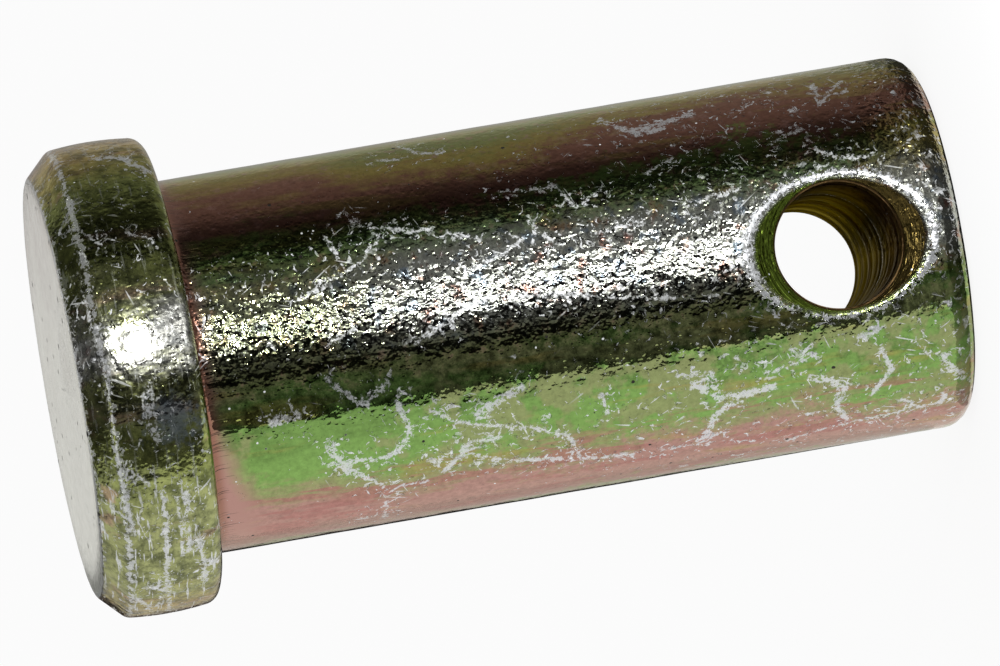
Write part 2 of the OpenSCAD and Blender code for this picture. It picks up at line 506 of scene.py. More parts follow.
def mouth_rings(sizes):
    """Rings from the window in the shank, over the worn lip and down the countersink to the hole."""
    outline = window_loop()
    turns = [math.atan2(height - sizes.hole_height, sizes.shank_radius * math.sin(angle))
             for angle, height in outline]
    edges = [mouth_radius(sizes, turn) for turn in turns]
    rings = []
    for share in steps(1.0, 0.0, SHOULDER_RINGS)[:-1]:
        ring = []
        for (angle, height), turn, edge in zip(outline, turns, edges):
            lip = on_shank(sizes, turn, edge + sizes.lip_outside)
            lip_angle = math.atan2(lip.x, lip.y)
            spot_angle = lip_angle + (angle - lip_angle) * share
            spot_height = lip.z + (height - lip.z) * share
            radius = surface_radius(sizes, spot_height)
            ring.append(Vector((radius * math.sin(spot_angle), radius * math.cos(spot_angle), spot_height)))
        rings.append(ring)
    for share in steps(0.0, 1.0, LIP_RINGS):
        ring = []
        for turn, edge in zip(turns, edges):
            start = on_shank(sizes, turn, edge + sizes.lip_outside)
            middle = on_cone(sizes, turn, edge)
            end = on_cone(sizes, turn, edge - sizes.lip_inside)
            ring.append(start * (1 - share) ** 2 + middle * 2 * share * (1 - share) + end * share ** 2)
        rings.append(ring)
    hole_r = sizes.hole_radius
    for share in CONE_SHARES:
        rings.append([on_cone(sizes, turn, hole_r + (edge - sizes.lip_inside - hole_r) * share)
                      for turn, edge in zip(turns, edges)])
    return turns, rings


def bored_hole(sizes):
    """Draws rings out of one window, through the hole and into the other window."""
    turns, mouth = mouth_rings(sizes)
    front = [[Vector((p.x, -p.y, p.z)) for p in ring] for ring in mouth]
    bore = []
    for depth in steps(-sizes.bore_half, sizes.bore_half, BORE_RINGS):
        radius = sizes.hole_radius + groove(sizes, depth)
        bore.append([Vector((radius * math.cos(turn), depth, sizes.hole_height + radius * math.sin(turn)))
                     for turn in turns])
    rings = front + bore + mouth[::-1]
    deselect_all()
    bpy.ops.mesh.primitive_circle_add(vertices=len(turns), radius=sizes.hole_radius, fill_type="NOTHING")
    hole = bpy.context.active_object
    bpy.ops.object.mode_set(mode="EDIT")
    bpy.ops.mesh.select_mode(type="EDGE")
    bpy.ops.mesh.select_all(action="SELECT")
    mesh = bmesh.from_edit_mesh(hole.data)
    for vert, point in zip(mesh.verts, rings[0]):
        vert.co = point
    bmesh.update_edit_mesh(hole.data)
    for before, ring in zip(rings, rings[1:]):
        bpy.ops.mesh.extrude_edges_move()
        mesh = bmesh.from_edit_mesh(hole.data)
        mesh.verts.ensure_lookup_table()
        fresh = mesh.verts[len(mesh.verts) - len(ring):]
        places = {tuple(point.to_tuple(4)): i for i, point in enumerate(before)}
        for vert in fresh:
            vert.co = ring[places[tuple(vert.co.to_tuple(4))]]
        bmesh.update_edit_mesh(hole.data)
    bpy.ops.object.mode_set(mode="OBJECT")
    return hole


def tumble(sizes, pin):
    """Gives the surface the shallow unevenness that tumbling and handling leave."""
    cloud = bpy.data.textures.new("tumbled_surface", "CLOUDS")
    cloud.noise_scale = DENT_SIZE
    cloud.noise_depth = 2
    uneven = pin.modifiers.new("tumbled", "DISPLACE")
    uneven.texture = cloud
    uneven.texture_coords = "LOCAL"
    uneven.strength = sizes.waviness
    uneven.mid_level = 0.5
    bpy.ops.object.modifier_apply(modifier=uneven.name)


def mark_scuffs(sizes, pin):
    """Stores at each point how far it lies beside the nearest scuff, how far from it, and its half width."""
    count = len(pin.data.vertices)
    spots = np.empty(count * 3)
    pin.data.vertices.foreach_get("co", spots)
    x, y, z = spots.reshape(count, 3).T / MM
    radius = np.hypot(x, y)
    turn = np.degrees(np.arctan2(x, -y))
    side, near, half = np.full(count, FAR), np.full(count, FAR), np.zeros(count)
    for width, path in SCUFFS:
        on_head = path[0][1] > sizes.shank_length
        grip = math.radians(1) * (sizes.head_radius if on_head else sizes.shank_radius)
        for (turn_a, low), (turn_b, high) in zip(path, path[1:]):
            run = np.array(((turn_b - turn_a) * grip, high - low))
            length = np.hypot(*run)
            across = (turn - turn_a) * grip
            up = z - low
            share = np.clip((across * run[0] + up * run[1]) / length ** 2, 0.0, 1.0)
            gap = np.hypot(across - share * run[0], up - share * run[1])
            beside = (across * run[1] - up * run[0]) / length
            closer = (gap < near) & ((z > sizes.shank_length - EDGE_GAP) == on_head)
            near[closer], side[closer], half[closer] = gap[closer], beside[closer], width
    rim_low, shank_low = sizes.head_radius - RIM_DEPTH, sizes.shank_radius - SHANK_DEPTH
    near[radius <= np.where(z > sizes.shank_length, rim_low, shank_low)] = FAR
    marks = pin.data.attributes.new("scuffs", "FLOAT_VECTOR", "POINT")
    marks.data.foreach_set("vector", np.stack((side, near, half), axis=1).astype(np.float32).ravel())


class Wiring:
    """Adds nodes to a material and links them; a value may be a socket, a number or a colour."""

    def __init__(self, material):
        self.nodes = material.node_tree.nodes
        self.links = material.node_tree.links

    def add(self, kind, values=None, **settings):
        """A node with its settings, and values for its inputs by name or number."""
        node = self.nodes.new(kind)
        for key, setting in settings.items():
            setattr(node, key, setting)
        for key, value in (values or {}).items():
            self.feed(node.inputs[key], value)
        return node

    def feed(self, socket, value):
        if isinstance(value, bpy.types.NodeSocket):
            self.links.new(value, socket)
        elif socket.type == "RGBA":
            socket.default_value = (*tuple(value)[:3], 1.0)
        else:
            socket.default_value = value

    def math(self, operation, *values, clamp=False):
        numbered = dict(enumerate(values))
        return self.add("ShaderNodeMath", numbered, operation=operation, use_clamp=clamp).outputs[0]

    def chain(self, operation, values, clamp=False):
        """The same operation from the first value on to the last."""
        result, *others = values
        for other in others:
            result = self.math(operation, result, other, clamp=clamp)
        return result

    def plus(self, *values, clamp=False):
        return self.chain("ADD", values, clamp)

    def minus(self, one, two, clamp=False):
        return self.math("SUBTRACT", one, two, clamp=clamp)

    def times(self, *values):
        return self.chain("MULTIPLY", values)

    def most(self, *values):
        return self.chain("MAXIMUM", values)

    def rest(self, share):
        """What a share leaves of the whole."""
        return self.minus(1.0, share)

    def centred(self, value):
        return self.minus(value, 0.5)

    def apart(self, one, two):
        return self.math("ABSOLUTE", self.minus(one, two))

    def length(self, one, two):
        return self.math("SQRT", self.plus(self.times(one, one), self.times(two, two)))

    def vector(self, operation, *values):
        numbered = dict(enumerate(values))
        return self.add("ShaderNodeVectorMath", numbered, operation=operation).outputs["Vector"]

    def parts(self, vector):
        return self.add("ShaderNodeSeparateXYZ", {0: vector}).outputs

    def flat(self, across, along=0.0):
        """A vector from two values."""
        return self.add("ShaderNodeCombineXYZ", {0: across, 1: along}).outputs[0]

    def turn(self, x, y):
        """Turn round the pin's axis, in radians from -Y towards +X."""
        return self.math("ARCTAN2", x, self.times(y, -1.0))

    def noise(self, place, scale, detail=2.0, roughness=0.5, distortion=0.0):
        return self.add("ShaderNodeTexNoise", {
            "Vector": place, "Scale": scale, "Detail": detail, "Roughness": roughness,
            "Distortion": distortion}).outputs["Fac"]

    def cells(self, place, scale):
        return self.add("ShaderNodeTexVoronoi", {"Vector": place, "Scale": scale}).outputs

    def ease(self, value, low, high, start=0.0, stop=1.0):
        """Goes softly from start to stop while the value goes from low to high."""
        return self.add("ShaderNodeMapRange", {
            "Value": value, "From Min": low, "From Max": high, "To Min": start, "To Max": stop},
            interpolation_type="SMOOTHSTEP").outputs["Result"]

    def mix(self, share, one, two, blend="MIX"):
        return self.add("ShaderNodeMix", {"Factor": share, "A": one, "B": two},
                        data_type="RGBA", blend_type=blend).outputs["Result"]

    def ramp(self, value, stops):
        node = self.add("ShaderNodeValToRGB", {"Fac": value})
        ladder = node.color_ramp.elements
        while len(ladder) < len(stops):
            ladder.new(0.5)
        for rung, (place, colour) in zip(ladder, sorted(stops, key=lambda stop: stop[0])):
            rung.position = place
            rung.color = (*colour, 1.0)
        return node.outputs["Color"]


def band_stops(bands):
    """Stops of a colour ramp from pairs of turn, in degrees from the hole's side, and colour."""
    return [((turn + 180) / 360, colour) for turn, colour in bands]


def shade(colour, share):
    """A darker or paler tone of a colour."""
    return tuple(part * share for part in colour)


def shank_bands(look):
    """Colours of the film round the shank, with painted shade darkening the green band towards its upper
    edge.
    """
    olive, green, rose = look.film_olive, look.film_green, look.film_rose
    russet, gold, lime = look.film_russet, look.film_gold, look.film_lime
    return band_stops((
        (-180, olive), (-150, green), (-120, rose), (-98, gold), (-87, olive), (-78, rose), (-62, rose),
        # Painted shade: the green band darkens towards its upper edge, most at -27 degrees and still a little
        # at -22
        (-46, green), (-37, shade(green, 0.96)), (-31, shade(green, 0.82)), (-27, shade(green, 0.55)),
        (-22, shade(green, 0.90)), (-15, lime), (-8, lime), (14, lime), (20, olive), (27, green), (35, olive),
        (40, russet), (56, russet), (66, gold), (80, olive), (100, gold), (122, rose), (150, green),
        (180, olive),
    ))


def head_bands(look):
    """Colours of the film round the head's rim, with a painted highlight in pale where the lamp's highlight
    falls.
    """
    olive, green, rose = look.film_olive, look.film_green, look.film_rose
    lime, gold, pale = look.film_lime, look.film_gold, look.film_pale
    return band_stops((
        (-180, olive), (-130, green), (-95, rose), (-80, gold), (-62, lime), (-40, lime), (-20, olive),
        (-6, lime), (2, pale), (8, pale), (16, lime), (26, olive), (50, olive), (70, gold), (95, rose),
        (140, lime), (180, olive),
    ))


class PinSurface:
    """Where a point of the pin lies, in millimetres, for the plating's nodes to share."""

    def __init__(self, wire, sizes):
        spot = wire.add("ShaderNodeTexCoord").outputs["Object"]
        self.place = wire.vector("MULTIPLY", spot, (1 / MM, 1 / MM, 1 / MM))
        self.x, self.y, self.z = wire.parts(self.place)
        self.radius = wire.length(self.x, self.y)
        self.turn = wire.turn(self.x, self.y)
        self.unrolled = wire.flat(wire.times(self.turn, sizes.shank_radius), self.z)
        self.drawn_out = wire.vector("MULTIPLY", self.place, (1.0, 1.0, 0.16))
        self.fine = wire.centred(wire.noise(self.place, 11.0, 3.0, 0.65))
        self.ragged = wire.centred(wire.noise(self.place, 4.0, 3.0, 0.65))
        self.rubbed = wire.ease(wire.apart(self.turn, RUBBED_TURN), 0.43, 0.22)
        under, top = sizes.shank_length, sizes.total_length
        self.head = wire.ease(self.z, under - 0.1, under + 0.1)
        self.face = wire.ease(self.z, top - 0.06, top - 0.02)
        # The mouth of the hole: 1 on its edge, less inside it
        self.mouth_side = wire.minus(self.z, sizes.hole_height)
        slope = math.tan(sizes.csk_angle / 2)
        long_half = sizes.hole_radius + (sizes.shank_radius - sizes.bore_half) * slope
        self.mouth = wire.length(wire.math("DIVIDE", self.x, mouth_radius(sizes, 0.0)),
                                 wire.math("DIVIDE", self.mouth_side, long_half))
        self.reach = wire.length(self.x, self.mouth_side)
        below = wire.ease(self.radius, sizes.shank_radius - 0.06, sizes.shank_radius - 0.16)
        drilled = wire.ease(self.reach, sizes.hole_radius + 0.12, sizes.hole_radius + 0.06)
        self.cone = wire.times(wire.ease(self.mouth, 1.0, 0.96), below)
        self.bore = wire.times(drilled, below)


def rim_distance(wire, at, sizes, turn, height):
    """Distance along the rim from a spot at a turn and a height above the head's underside."""
    across = wire.times(wire.minus(at.turn, turn), sizes.head_radius)
    return wire.length(across, wire.minus(at.z, sizes.shank_length + height))


def band_share(wire, at, wander, streak, cloud):
    """How far round the bands a point lies, from 0 to 1, where their edges wander, streak and blotch."""
    blotch = wire.times(wire.centred(cloud), wire.ease(at.z, 21.0, 12.0, 0.2, 0.7))
    # The gold comes lower down the upper side, half way along
    upper = wire.times(wire.ease(wire.apart(at.z, GOLD_HEIGHT), 5.5, 2.0),
                       wire.ease(at.turn, 0.5, 0.8, 0.0, 0.24))
    # The green goes lower down beside the free end
    lower = wire.times(wire.ease(at.z, 6.5, 2.5), wire.ease(at.turn, -0.5, -0.8, 0.0, 0.17))
    shift = wire.plus(wire.times(wander, 0.40), wire.times(streak, 0.55), blotch, upper, lower)
    return wire.plus(wire.times(wire.plus(at.turn, shift), 0.5 / math.pi), 0.5)


def shank_film(wire, at, look, share, streak, cloud, ochre):
    """Colour of the film on the shank: bands round it, patches, and a thin film where it was rubbed, paler
    where the lamps' highlight falls as a painted highlight.
    """
    film = wire.ramp(share, shank_bands(look))
    # The green has more dull yellow patches towards the free end
    dull_level = wire.ease(at.z, 20.0, 15.0, 0.56, 0.44)
    lime = wire.noise(wire.vector("ADD", at.place, (7.0, 3.0, 1.0)), 0.75, 4.0, 0.6)
    lime = wire.ease(lime, dull_level, wire.plus(dull_level, 0.10), 0.0, 0.85)
    greenness = wire.ease(wire.apart(at.turn, GREEN_TURN), 0.40, 0.25)
    film = wire.mix(wire.times(lime, greenness), film, look.film_lime)
    film = wire.mix(ochre, film, look.film_gold)
    blush = wire.times(wire.ease(cloud, 0.53, 0.68, 0.0, 0.6), wire.rest(greenness))
    film = wire.mix(blush, film, look.film_rose)
    # Redder patches in the rose band
    rosy = wire.ease(wire.apart(at.turn, ROSE_TURN), 0.42, 0.25)
    film = wire.mix(wire.times(rosy, wire.ease(streak, 0.0, 0.08, 0.0, 0.8)), film, look.film_red)
    # Gold beside the free end, over the hole
    tip = wire.times(wire.ease(at.z, 3.4, 1.4, 0.0, 0.8),
                     wire.ease(wire.apart(at.turn, TIP_TURN), 0.34, 0.14))
    film = wire.mix(tip, film, look.film_gold)
    # Blotches between the green band and the upper edge of the rubbed side
    blotched = wire.times(wire.ease(at.turn, -0.47, -0.42), wire.ease(at.turn, 0.62, 0.50))
    film = wire.mix(blotched, film, wire.ramp(cloud, BLOTCH_TONES), "MULTIPLY")
    # Thin film, pale with blue-grey and rose in places, on the rubbed side: partly film colour, partly a
    # painted highlight where the lamps' highlight falls
    pale_film_and_highlight = wire.ramp(wire.noise(at.place, 1.2, 3.0, 0.65), (
        (0.36, look.film_steel), (0.43, look.film_pale), (0.57, look.film_pale), (0.66, look.film_rose)))
    thin = wire.times(wire.ease(at.z, 21.5, 17.0, 0.25, 0.9), wire.ease(at.turn, 0.48, 0.26, 0.15, 1.0))
    film = wire.mix(wire.times(at.rubbed, thin), film, pale_film_and_highlight)
    return wire.mix(1.0, film, wire.ramp(wire.noise(at.place, 5.0, 4.0, 0.7), GRAIN_TONES), "MULTIPLY")


def head_film(wire, at, sizes, look, share, ochre):
    """Colour of the film on the head's rim: bands, mottling and a blue-grey patch beside the highlight."""
    film = wire.ramp(share, head_bands(look))
    film = wire.mix(ochre, film, look.film_rose)
    film = wire.mix(1.0, film, wire.ramp(wire.noise(at.place, 1.9, 5.0, 0.72), HEAD_TONES), "MULTIPLY")
    gap = wire.plus(rim_distance(wire, at, sizes, *STEEL_PATCH), wire.times(at.ragged, 3.0))
    return wire.mix(wire.ease(gap, 1.1, 0.3, 0.0, 0.6), film, look.film_steel)


def plating_film(wire, at, sizes, look):
    """Colour of the chromate film: the shank, then the neck, the head, its face and the hole laid over it."""
    under = sizes.shank_length
    wander = wire.centred(wire.noise(at.place, 0.22, 2.0))
    streak = wire.centred(wire.noise(at.drawn_out, 1.3, 4.0, 0.66))
    cloud = wire.noise(at.place, 2.4, 5.0, 0.7)
    ochre = wire.noise(wire.vector("ADD", at.drawn_out, (2.0, 9.0, 4.0)), 1.1, 4.0, 0.62)
    ochre = wire.ease(ochre, 0.56, 0.68, 0.0, 0.5)
    share = band_share(wire, at, wander, streak, cloud)
    film = shank_film(wire, at, look, share, streak, cloud, ochre)
    # A rose ring and a red-brown one beside the neck
    width = wire.ease(wire.apart(at.turn, ROSE_TURN), 0.1, 0.8, 0.7, -0.3)
    neck = wire.plus(at.z, width, wire.times(streak, 0.4))
    film = wire.mix(wire.ease(neck, under - 1.2, under - 0.05), film, look.film_rose)
    film = wire.mix(wire.ease(at.z, under - 0.50, under - 0.12), film, look.film_russet)
    film = wire.mix(at.head, film, head_film(wire, at, sizes, look, share, ochre))
    side = wire.plus(wire.times(at.x, 0.5 / sizes.head_radius), wire.times(wander, 0.5), 0.5)
    flat = wire.ramp(side, ((0.10, look.face_bare), (0.50, look.face_film), (0.80, look.face_rose)))
    film = wire.mix(at.face, film, flat)
    cone = wire.mix(wire.ease(at.mouth_side, -1.2, 0.4), look.cone_brown, look.cone_green)
    film = wire.mix(at.cone, film, cone)
    # Dark rings down the hole: partly dirt in the grooves, partly painted shade inside the hole
    drilled = wire.ramp(wire.noise(wire.flat(at.y), 1.3, 3.0, 0.6),
                        ((0.42, look.hole_dark), (0.58, look.hole_brown)))
    drilled = wire.mix(wire.ease(at.y, -1.2, -2.8, 0.0, 0.6), drilled, look.hole_red)
    return wire.mix(at.bore, film, drilled)


def placed_scuffs(wire, at):
    """Scuffs that were placed, ragged and broken into flakes; and how far off the nearest is."""
    marks = wire.add("ShaderNodeAttribute", attribute_name="scuffs")
    beside, near, half = wire.parts(marks.outputs["Vector"])
    reach = wire.math("ABSOLUTE", wire.plus(beside, wire.times(at.ragged, 0.40)))
    over = wire.minus(reach, wire.times(half, 0.85))
    stroke = wire.times(
        wire.ease(wire.plus(over, wire.times(at.fine, 0.30)), 0.03, -0.03),
        wire.ease(wire.minus(near, half), 0.18, 0.08),
        wire.ease(wire.noise(at.place, 3.6, 5.0, 0.8), 0.45, 0.48),
        wire.ease(at.fine, 0.16, -0.16, 0.55, 1.0))
    return stroke, near


def scratches(wire, at, slant, shift):
    """Straight hairline scratches, slanted from the pin's length by an angle in radians."""
    turned = wire.add("ShaderNodeVectorRotate", {"Vector": at.unrolled, "Angle": slant},
                      rotation_type="Z_AXIS")
    drawn = wire.vector("MULTIPLY", turned.outputs[0], (8.0, 0.6, 1.0))
    return wire.ease(wire.noise(wire.vector("ADD", drawn, (shift, shift, 0.0)), 1.0, 1.0), 0.715, 0.75)


def scuff_masks(wire, at):
    """Placed scuffs, with flecks, hairlines and the rim's drag marks between; and a painted shadow on the
    flecks' dark side.
    """
    stroke, near = placed_scuffs(wire, at)
    crowd = wire.most(
        wire.ease(near, 1.3, 0.1), wire.ease(at.mouth, 1.6, 1.05), wire.times(at.rubbed, 0.6),
        wire.ease(at.z, 18.0, 8.0, 0.0, 0.75), wire.ease(at.z, 2.6, 0.9), wire.times(at.head, 0.5))
    clear = wire.most(at.cone, wire.times(at.face, 0.8))
    crowd = wire.times(crowd, wire.rest(clear))
    floor = wire.minus(0.690, wire.times(crowd, 0.115))
    level = wire.minus(wire.noise(at.place, 3.2, 4.0, 0.65, 1.2), floor)
    flecks = wire.ease(level, 0.0, 0.02)
    shadow = wire.times(wire.ease(level, -0.035, -0.005), wire.ease(at.ragged, -0.05, 0.08))
    shadow = wire.minus(shadow, flecks, clamp=True)
    flecks = wire.times(flecks, wire.ease(at.ragged, 0.12, -0.14, 0.30, 1.0))
    lines = wire.most(*(scratches(wire, at, slant, shift) for slant, shift in HAIRLINES))
    lines = wire.times(lines, wire.ease(wire.noise(at.place, 1.3, 2.0), 0.48, 0.56),
                       wire.ease(crowd, 0.25, 0.6))
    dragged = wire.noise(wire.vector("MULTIPLY", at.unrolled, (0.9, 6.0, 1.0)), 1.0, 3.0, 0.65)
    dragged = wire.times(wire.ease(dragged, 0.58, 0.64), wire.minus(at.head, at.face),
                         wire.ease(at.turn, -0.35, -0.75, 0.25, 1.0))
    return wire.most(stroke, flecks, wire.times(lines, 0.7), wire.times(dragged, 0.8)), shadow


def worn_edges(wire, at, sizes):
    """The hole's lip and the edges of the head's bevel, rubbed bright."""
    off = wire.plus(wire.apart(at.mouth, 1.02), wire.times(wire.plus(at.fine, at.ragged), 0.27))
    # Rubbed wider on the side where the turn is positive
    width = wire.ease(at.x, -2.4, -0.2, 0.015, 0.045)
    lip = wire.times(wire.ease(wire.minus(off, width), 0.01, -0.02),
                     wire.ease(at.radius, sizes.shank_radius - 0.5, sizes.shank_radius - 0.3))
    gaps = [wire.length(wire.minus(at.radius, radius), wire.minus(at.z, height))
            for radius, height in bevel_edges(sizes)]
    edge = wire.plus(wire.math("MINIMUM", *gaps), wire.times(at.fine, 0.7), wire.times(at.ragged, 0.9))
    return wire.most(lip, wire.times(wire.ease(edge, 0.10, 0.04), 0.7))


def small_marks(wire, at, sizes):
    """Dark specks all over, the dirt in the turning marks beside the neck, and painted glints: pale specks
    that stand in for the lamp's glints.
    """
    specks = wire.cells(at.place, SPECK_SCALE)
    picked = wire.add("ShaderNodeSeparateColor", {0: specks["Color"]}).outputs
    size = wire.plus(wire.times(wire.centred(picked[0]), 0.25), wire.times(at.face, 0.06))
    rough_edge = wire.plus(specks["Distance"], wire.times(at.fine, 0.10))
    speck = wire.ease(wire.minus(rough_edge, size), 0.0, -0.025)
    # Painted glints: small pale specks, made dull below, that stand in for tiny glints of the lamp
    painted_glint = wire.times(wire.ease(picked[1], 0.62, 0.64), wire.ease(rough_edge, 0.075, 0.045))
    swirl = wire.noise(wire.flat(wire.times(at.turn, 130.0), wire.times(at.z, 0.8)), 1.0, 3.0, 0.6)
    under = sizes.shank_length
    fade = wire.ease(at.z, under - 1.9, under - 0.2, 0.84, 0.56)
    line = wire.times(wire.ease(wire.minus(swirl, fade), 0.0, 0.08, 0.0, 0.7), wire.rest(at.head))
    # Painted glints: pale spots along one of the drill's rings, standing in for the lamp's glints
    ring = wire.times(wire.ease(wire.apart(at.y, PAINTED_GLINT_RING), 0.16, 0.06), at.bore,
                      wire.ease(at.fine, 0.03, 0.07))
    return wire.most(speck, line), wire.most(painted_glint, ring)


def surface_relief(wire, at, worn, polished, knocked):
    """Height of the relief, in millimetres: deepest on the rubbed side and towards the free end."""
    deep = wire.times(knocked, wire.ease(at.turn, 0.20, 0.36, 1.0, 1.9))
    strip = wire.ease(wire.apart(at.turn, OLIVE_TURN), 0.21, 0.13, 0.0, 0.30)
    rim = wire.times(wire.minus(at.head, at.face), 0.6)
    rubbed = wire.plus(wire.times(wire.most(at.rubbed, deep, strip, rim), 0.83), 0.17)
    grains = [wire.times(wire.noise(at.place, scale, detail, 0.55), depth)
              for scale, detail, depth in RELIEF_GRAINS]
    pits = wire.ease(wire.cells(at.place, PIT_SCALE)["Distance"], 0.08, 0.30, -0.014, 0.0)
    smooth = wire.plus(wire.times(worn, 0.4), wire.times(at.head, 0.35), clamp=True)
    smooth = wire.most(smooth, wire.times(polished, 0.85))
    relief = wire.times(wire.plus(*grains, pits), wire.times(rubbed, wire.rest(smooth)))
    # Rings that the drill left: coarse ones along the hole, finer ones down the countersink
    swing = wire.times(wire.math("ARCTAN2", at.x, at.mouth_side), 0.35)
    along = wire.plus(wire.times(at.y, 1.2, at.bore), wire.times(at.reach, 7.0, at.cone))
    ridges = wire.plus(wire.times(at.bore, 0.14), wire.times(at.cone, 0.06))
    return wire.plus(relief, wire.times(wire.noise(wire.flat(along, swing), 1.0, 3.0, 0.6), ridges))


def plated_zinc(sizes, look):
    """Yellow chromate on zinc: banded film, fine pits, scuffs down to the grey zinc, and painted highlights,
    glints and shade.
    """
    material = bpy.data.materials.new("yellow_zinc_plating")
    material.use_nodes = True
    wire = Wiring(material)
    at = PinSurface(wire, sizes)
    scuff, shadow = scuff_masks(wire, at)
    worn = worn_edges(wire, at, sizes)
    grime, painted_glint = small_marks(wire, at, sizes)

    # The zinc is paler in places at random, and across the whole rubbed side as a painted highlight that
    # stands in for scratches mirroring the lamp
    fresh = wire.most(at.rubbed, wire.ease(at.fine, -0.10, 0.12))
    zinc = wire.mix(fresh, look.bare_zinc, shade(look.bare_zinc, PALER_ZINC))
    colour = wire.mix(wire.most(painted_glint, scuff, worn), plating_film(wire, at, sizes, look), zinc)
    # Dirt, and the painted shadow beside the flecks, in the dirt's colour
    colour = wire.mix(wire.most(grime, wire.times(shadow, 0.7)), colour, look.dirt)
    # Scuffs are duller, most of all on the rubbed side, where their pale, dull look is a painted highlight
    dull_scuff_and_highlight = wire.plus(wire.times(at.rubbed, 0.55), 0.16)
    dull = wire.most(wire.times(grime, 0.6), wire.times(scuff, dull_scuff_and_highlight), wire.times(painted_glint, 0.7),
                     wire.times(at.face, 0.4), wire.times(worn, 0.3))
    tint = wire.mix(wire.most(at.bore, at.cone), look.edge_tint, look.hole_edge)

    # Polished at the rim's highlight with a glow round it, knocked at the free end, matt in rubbed spots
    spread = rim_distance(wire, at, sizes, *RIM_HIGHLIGHT)
    polished = wire.ease(spread, 1.0, 0.4)
    glow = wire.times(wire.minus(wire.ease(spread, 2.2, 1.0), polished, clamp=True), at.head)
    knocked = wire.times(wire.ease(at.z, 3.0, 0.8), wire.ease(at.turn, -0.25, 0.1, 0.15, 1.0))
    matt = wire.times(wire.ease(wire.noise(at.place, 6.0, 2.0), 0.42, 0.62),
                      wire.minus(wire.minus(at.rubbed, at.face), polished, clamp=True))
    rough = wire.plus(wire.ease(wire.noise(at.place, 3.0, 3.0, 0.6), 0.3, 0.7, 0.05, 0.10), *(
        wire.times(mask, more) for mask, more in (
            (matt, 0.17), (glow, 0.10), (knocked, 0.08), (scuff, 0.26), (worn, 0.05), (at.bore, 0.22),
            (at.cone, 0.08), (at.face, 0.03), (at.head, 0.09), (grime, 0.4))))
    bump = wire.add("ShaderNodeBump", {
        "Strength": 1.0, "Distance": MM, "Height": surface_relief(wire, at, worn, polished, knocked)})
    shader = wire.nodes["Principled BSDF"]
    for name, value in (("Base Color", colour), ("Metallic", wire.rest(dull)), ("Roughness", rough),
                        ("Specular Tint", tint), ("Normal", bump.outputs["Normal"])):
        wire.feed(shader.inputs[name], value)
    return material


def check_closed(obj):
    """Stops the build if the mesh has an edge that doesn't join two faces."""
    mesh = bmesh.new()
    mesh.from_mesh(obj.data)
    loose = sum(len(edge.link_faces) != 2 for edge in mesh.edges)
    mesh.free()
    if loose:
        raise RuntimeError(f"{obj.name} has {loose} open edges")


class CLEVIS_OT_plated_pin(bpy.types.Operator):
    """Builds the pin with its drilled hole and worn edges, and plates it"""

    bl_idname = "clevis.plated_pin"
    bl_label = "Plated pin"

    def execute(self, context):
        sizes, look = context.scene.pin_sizes, context.scene.plating_look
        blank = turned_blank(sizes)
        hole = bored_hole(sizes)
        make_active(blank)
        hole.select_set(True)
        bpy.ops.object.join()
        pin = context.active_object
        pin.name = pin.data.name = "plated_pin"
        bpy.ops.object.mode_set(mode="EDIT")
        bpy.ops.mesh.select_all(action="SELECT")
        bpy.ops.mesh.remove_doubles(threshold=MERGE_GAP)
        bpy.ops.mesh.normals_make_consistent(inside=False)
        bpy.ops.object.mode_set(mode="OBJECT")
        tumble(sizes, pin)
        pin.scale = (MM, MM, MM)
        bpy.ops.object.transform_apply(location=True, rotation=True, scale=True)
        bpy.ops.object.shade_smooth_by_angle(angle=math.radians(SMOOTH_DEGREES))
        check_closed(pin)
        mark_scuffs(sizes, pin)
        pin.data.materials.clear()
        pin.data.materials.append(plated_zinc(sizes, look))
        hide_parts(NODE)
        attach(pin, "root")
        return {"FINISHED"}


def plain_material(name, grey, roughness=0.9):
    """A flat matt grey for the studio's own surfaces."""
    material = bpy.data.materials.new(name)
    material.use_nodes = True
    shader = material.node_tree.nodes["Principled BSDF"]
    shader.inputs["Base Color"].default_value = (grey, grey, grey, 1.0)
    shader.inputs["Roughness"].default_value = roughness
    shader.inputs["Specular IOR Level"].default_value = 0.0
    return material


def white_floor(settings):
    """Floor that looks white to the camera and in the metal, and still takes the pin's shadow."""
    material = plain_material("white_floor", settings.floor_grey)
    wire = Wiring(material)
    path = wire.add("ShaderNodeLightPath").outputs
    seen = wire.most(path["Is Camera Ray"], path["Is Glossy Ray"], path["Is Transmission Ray"])
    glow = wire.add("ShaderNodeEmission", {"Strength": 1.0})
    blend = wire.add("ShaderNodeMixShader", {
        0: wire.times(seen, FLOOR_GLOW), 1: wire.nodes["Principled BSDF"].outputs[0], 2: glow.outputs[0]})
    wire.feed(wire.nodes["Material Output"].inputs["Surface"], blend.outputs[0])
    return material


def shaded_greys(name, greys, centre):
    """Greys that change smoothly with the turn round a centre."""
    material = plain_material(name, 0.5)
    wire = Wiring(material)
    spot = wire.add("ShaderNodeTexCoord").outputs["Object"]
    across, along, _ = wire.parts(wire.vector("SUBTRACT", spot, Vector(centre) * MM))
    turn = wire.plus(wire.math("DEGREES", wire.turn(across, along)), CAMERA_TURN)
    low, high = greys[0][0], greys[-1][0]
    share = wire.math("DIVIDE", wire.minus(turn, low), high - low)
    stops = [((place - low) / (high - low), (grey,) * 3) for place, grey in greys]
    wire.feed(wire.nodes["Principled BSDF"].inputs["Base Color"], wire.ramp(share, stops))
    return material


def around(turn, distance, height):
    """A place round the pin, in millimetres; the turn is in degrees from the camera's side towards +X."""
    angle = math.radians(turn - CAMERA_TURN)
    return (distance * math.sin(angle), -distance * math.cos(angle), height)


